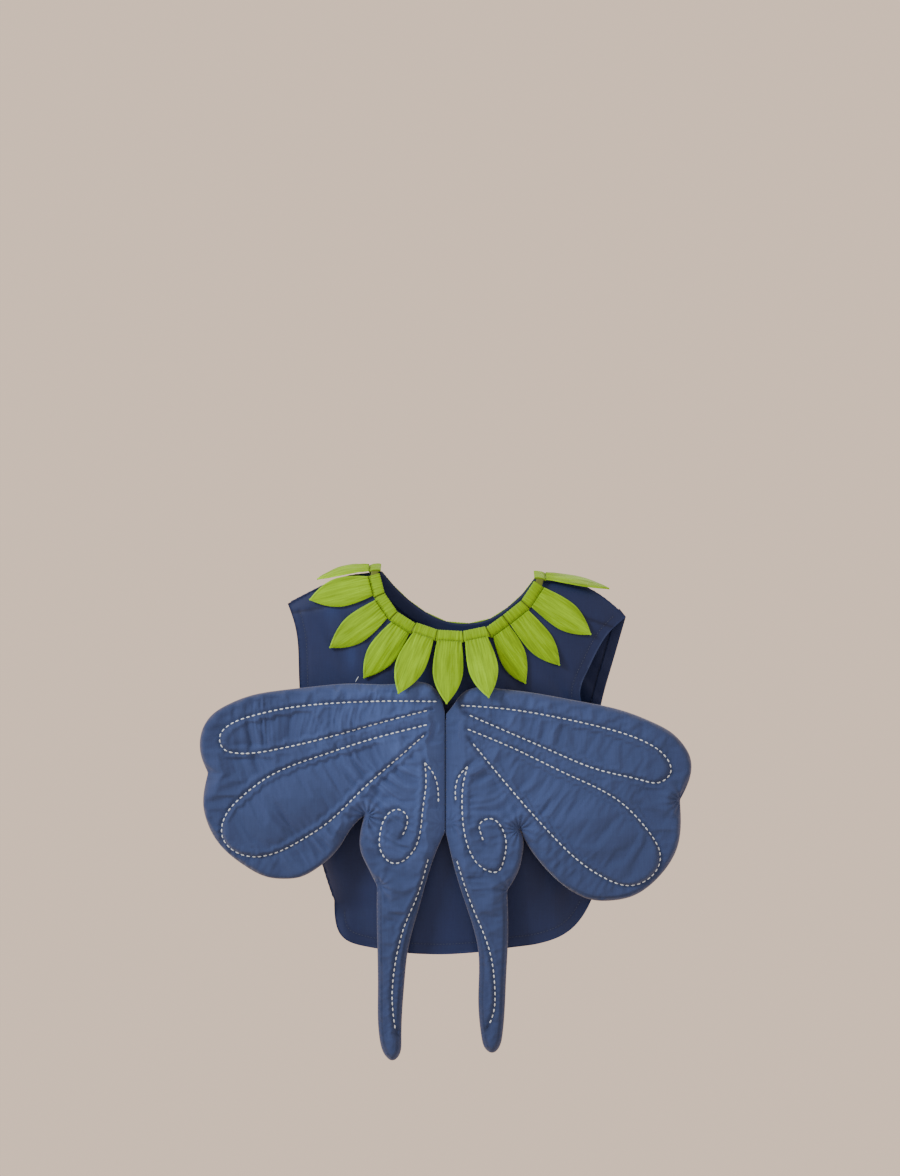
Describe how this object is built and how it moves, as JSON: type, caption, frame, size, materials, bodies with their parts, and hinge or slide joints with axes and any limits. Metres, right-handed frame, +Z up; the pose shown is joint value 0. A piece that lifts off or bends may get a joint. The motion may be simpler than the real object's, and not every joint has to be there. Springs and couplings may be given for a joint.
{
  "type": "fairy wings",
  "caption": "Pair of wadded cloth wings with tails, sewn to the back of a child's sleeveless vest with an elasticated collar of cloth leaves.",
  "frame": {"origin": "middle of the neck opening, level with the inner ends of the shoulders", "axes": "+Z up as the vest hangs, +X to the right of someone who looks at the wings, -Y towards them, so the wearer faces +Y"},
  "size_m": [0.5083, 0.0953, 0.5145],
  "materials": {
    "vest_cloth": "dark blue slubbed plain weave, soft matt with a faint sheen",
    "wing_cloth": "mid blue plain weave, matt",
    "collar_cloth": "lime green slubbed plain weave, soft sheen",
    "thread": "white thick cotton thread",
    "wadding": "off-white polyester wadding",
    "elastic": "dull green woven elastic",
    "tape": "dark blue twill tape",
    "label": "white satin label, blank"
  },
  "bodies": {
    "vest": {"armhole_facing_left_back": "vest_cloth", "armhole_facing_left_front": "vest_cloth", "armhole_facing_right_back": "vest_cloth", "armhole_facing_right_front": "vest_cloth", "care_label": "label", "centre_back_tape": "tape", "hem_fold_back": "vest_cloth", "hem_fold_front": "vest_cloth", "leaf_casings": "collar_cloth", "neck_elastic": "elastic", "neck_facing_back": "vest_cloth", "neck_facing_front": "vest_cloth", "shoulder_seam_left": "vest_cloth", "shoulder_seam_right": "vest_cloth", "side_seam_left": "vest_cloth", "side_seam_right": "vest_cloth", "vest_back_panel": "vest_cloth", "vest_front_panel": "vest_cloth", "wing_seam_allowance": "wing_cloth", "wing_tacks": "thread"},
    "leaf_01": {"leaf_01": "collar_cloth"},
    "leaf_02": {"leaf_02": "collar_cloth"},
    "leaf_03": {"leaf_03": "collar_cloth"},
    "leaf_04": {"leaf_04": "collar_cloth"},
    "leaf_05": {"leaf_05": "collar_cloth"},
    "leaf_06": {"leaf_06": "collar_cloth"},
    "leaf_07": {"leaf_07": "collar_cloth"},
    "leaf_08": {"leaf_08": "collar_cloth"},
    "leaf_09": {"leaf_09": "collar_cloth"},
    "leaf_10": {"leaf_10": "collar_cloth"},
    "leaf_11": {"leaf_11": "collar_cloth"},
    "leaf_12": {"leaf_12": "collar_cloth"},
    "leaf_13": {"leaf_13": "collar_cloth"},
    "leaf_14": {"leaf_14": "collar_cloth"},
    "leaf_15": {"leaf_15": "collar_cloth"},
    "leaf_16": {"leaf_16": "collar_cloth"},
    "leaf_17": {"leaf_17": "collar_cloth"},
    "leaf_18": {"leaf_18": "collar_cloth"},
    "leaf_19": {"leaf_19": "collar_cloth"},
    "leaf_20": {"leaf_20": "collar_cloth"},
    "left_tail": {"left_tail_back_cover": "wing_cloth", "left_tail_front_cover": "wing_cloth", "left_tail_thread": "thread", "left_tail_wadding": "wadding"},
    "left_wing": {"left_wing_back_cover": "wing_cloth", "left_wing_front_cover": "wing_cloth", "left_wing_thread": "thread", "left_wing_wadding": "wadding"},
    "right_tail": {"right_tail_back_cover": "wing_cloth", "right_tail_front_cover": "wing_cloth", "right_tail_thread": "thread", "right_tail_wadding": "wadding"},
    "right_wing": {"right_wing_back_cover": "wing_cloth", "right_wing_front_cover": "wing_cloth", "right_wing_thread": "thread", "right_wing_wadding": "wadding"}
  },
  "joints": [
    {"name": "left_wing_flap", "type": "hinge", "parent": "vest", "child": "left_wing", "pos_m": [-0.012, -0.0425, -0.21], "axis": [0, 0, 1], "range_deg": [0, 60], "stiffness_Nm_per_rad": 0.05},
    {"name": "left_tail_swing", "type": "hinge", "parent": "left_wing", "child": "left_tail", "pos_m": [-0.0812, -0.0425, -0.332], "axis": [0, 1, 0], "range_deg": [0, 30], "stiffness_Nm_per_rad": 0.1},
    {"name": "right_wing_flap", "type": "hinge", "parent": "vest", "child": "right_wing", "pos_m": [-0.012, -0.0425, -0.21], "axis": [0, 0, -1], "range_deg": [0, 60], "stiffness_Nm_per_rad": 0.05, "deforming": ["leaf_05"]},
    {"name": "right_tail_swing", "type": "hinge", "parent": "right_wing", "child": "right_tail", "pos_m": [0.0513, -0.0425, -0.332], "axis": [0, -1, 0], "range_deg": [0, 30], "stiffness_Nm_per_rad": 0.1},
    {"name": "leaf_01_lift", "type": "hinge", "parent": "vest", "child": "leaf_01", "pos_m": [-0.09055, -0.01484, -0.01636], "axis": [-0.2515, 0.1208, 0.9603], "range_deg": [0, 60], "stiffness_Nm_per_rad": 0.004},
    {"name": "leaf_02_lift", "type": "hinge", "parent": "vest", "child": "leaf_02", "pos_m": [-0.07931, -0.01784, -0.04059], "axis": [-0.5648, 0.1245, 0.8158], "range_deg": [0, 60], "stiffness_Nm_per_rad": 0.004},
    {"name": "leaf_03_lift", "type": "hinge", "parent": "vest", "child": "leaf_03", "pos_m": [-0.05927, -0.02119, -0.05998], "axis": [-0.8373, 0.1043, 0.5367], "range_deg": [0, 60], "stiffness_Nm_per_rad": 0.004},
    {"name": "leaf_04_lift", "type": "hinge", "parent": "vest", "child": "leaf_04", "pos_m": [-0.03501, -0.02847, -0.06831], "axis": [-0.9447, 0.0622, 0.322], "range_deg": [0, 60], "stiffness_Nm_per_rad": 0.004},
    {"name": "leaf_05_lift", "type": "hinge", "parent": "vest", "child": "leaf_05", "pos_m": [-0.00789, -0.02909, -0.07372], "axis": [-0.9983, 0.0114, 0.0565], "range_deg": [0, 60], "stiffness_Nm_per_rad": 0.004},
    {"name": "leaf_06_lift", "type": "hinge", "parent": "vest", "child": "leaf_06", "pos_m": [0.02018, -0.0291, -0.07148], "axis": [-0.9784, -0.0333, -0.2038], "range_deg": [0, 60], "stiffness_Nm_per_rad": 0.004},
    {"name": "leaf_07_lift", "type": "hinge", "parent": "vest", "child": "leaf_07", "pos_m": [0.04627, -0.0223, -0.06359], "axis": [-0.8093, -0.1044, -0.5781], "range_deg": [0, 60], "stiffness_Nm_per_rad": 0.004},
    {"name": "leaf_08_lift", "type": "hinge", "parent": "vest", "child": "leaf_08", "pos_m": [0.0653, -0.0196, -0.04923], "axis": [-0.7781, -0.1101, -0.6185], "range_deg": [0, 60], "stiffness_Nm_per_rad": 0.004},
    {"name": "leaf_09_lift", "type": "hinge", "parent": "vest", "child": "leaf_09", "pos_m": [0.08466, -0.01622, -0.02815], "axis": [-0.5507, -0.1198, -0.8261], "range_deg": [0, 60], "stiffness_Nm_per_rad": 0.004},
    {"name": "leaf_10_lift", "type": "hinge", "parent": "vest", "child": "leaf_10", "pos_m": [0.0943, -0.00085, -0.00222], "axis": [0, -0.9438, -0.3304], "range_deg": [0, 60], "stiffness_Nm_per_rad": 0.004},
    {"name": "leaf_11_lift", "type": "hinge", "parent": "vest", "child": "leaf_11", "pos_m": [0.08567, 0.01576, -0.02379], "axis": [0.6034, -0.1151, 0.7891], "range_deg": [0, 60], "stiffness_Nm_per_rad": 0.004},
    {"name": "leaf_12_lift", "type": "hinge", "parent": "vest", "child": "leaf_12", "pos_m": [0.06966, 0.01839, -0.04122], "axis": [0.7363, -0.1125, 0.6673], "range_deg": [0, 60], "stiffness_Nm_per_rad": 0.004},
    {"name": "leaf_13_lift", "type": "hinge", "parent": "vest", "child": "leaf_13", "pos_m": [0.05098, 0.021, -0.05547], "axis": [0.8385, -0.0993, 0.5357], "range_deg": [0, 60], "stiffness_Nm_per_rad": 0.004},
    {"name": "leaf_14_lift", "type": "hinge", "parent": "vest", "child": "leaf_14", "pos_m": [0.02692, 0.02315, -0.06535], "axis": [0.9739, -0.05, 0.2213], "range_deg": [0, 60], "stiffness_Nm_per_rad": 0.004},
    {"name": "leaf_15_lift", "type": "hinge", "parent": "vest", "child": "leaf_15", "pos_m": [-0.00006, 0.02375, -0.06709], "axis": [0.9965, 0.0111, -0.083], "range_deg": [0, 60], "stiffness_Nm_per_rad": 0.004},
    {"name": "leaf_16_lift", "type": "hinge", "parent": "vest", "child": "leaf_16", "pos_m": [-0.02735, 0.02245, -0.06001], "axis": [0.9079, 0.0735, -0.4127], "range_deg": [0, 60], "stiffness_Nm_per_rad": 0.004},
    {"name": "leaf_17_lift", "type": "hinge", "parent": "vest", "child": "leaf_17", "pos_m": [-0.04955, 0.02007, -0.04728], "axis": [0.8065, 0.1015, -0.5825], "range_deg": [0, 60], "stiffness_Nm_per_rad": 0.004},
    {"name": "leaf_18_lift", "type": "hinge", "parent": "vest", "child": "leaf_18", "pos_m": [-0.06768, 0.01749, -0.03214], "axis": [0.7141, 0.1112, -0.6911], "range_deg": [0, 60], "stiffness_Nm_per_rad": 0.004},
    {"name": "leaf_19_lift", "type": "hinge", "parent": "vest", "child": "leaf_19", "pos_m": [-0.08257, 0.01506, -0.01618], "axis": [0.6363, 0.1105, -0.7635], "range_deg": [0, 60], "stiffness_Nm_per_rad": 0.004},
    {"name": "leaf_20_lift", "type": "hinge", "parent": "vest", "child": "leaf_20", "pos_m": [-0.09259, -0.00109, 0.00417], "axis": [0, 0.9438, 0.3304], "range_deg": [0, 60], "stiffness_Nm_per_rad": 0.004}
  ],
  "couplings": [
    {"joint": "leaf_04_lift", "follows": "left_wing_flap", "ratio": 1},
    {"joint": "leaf_05_lift", "follows": "left_wing_flap", "ratio": 1},
    {"joint": "leaf_06_lift", "follows": "right_wing_flap", "ratio": 1}
  ]
}
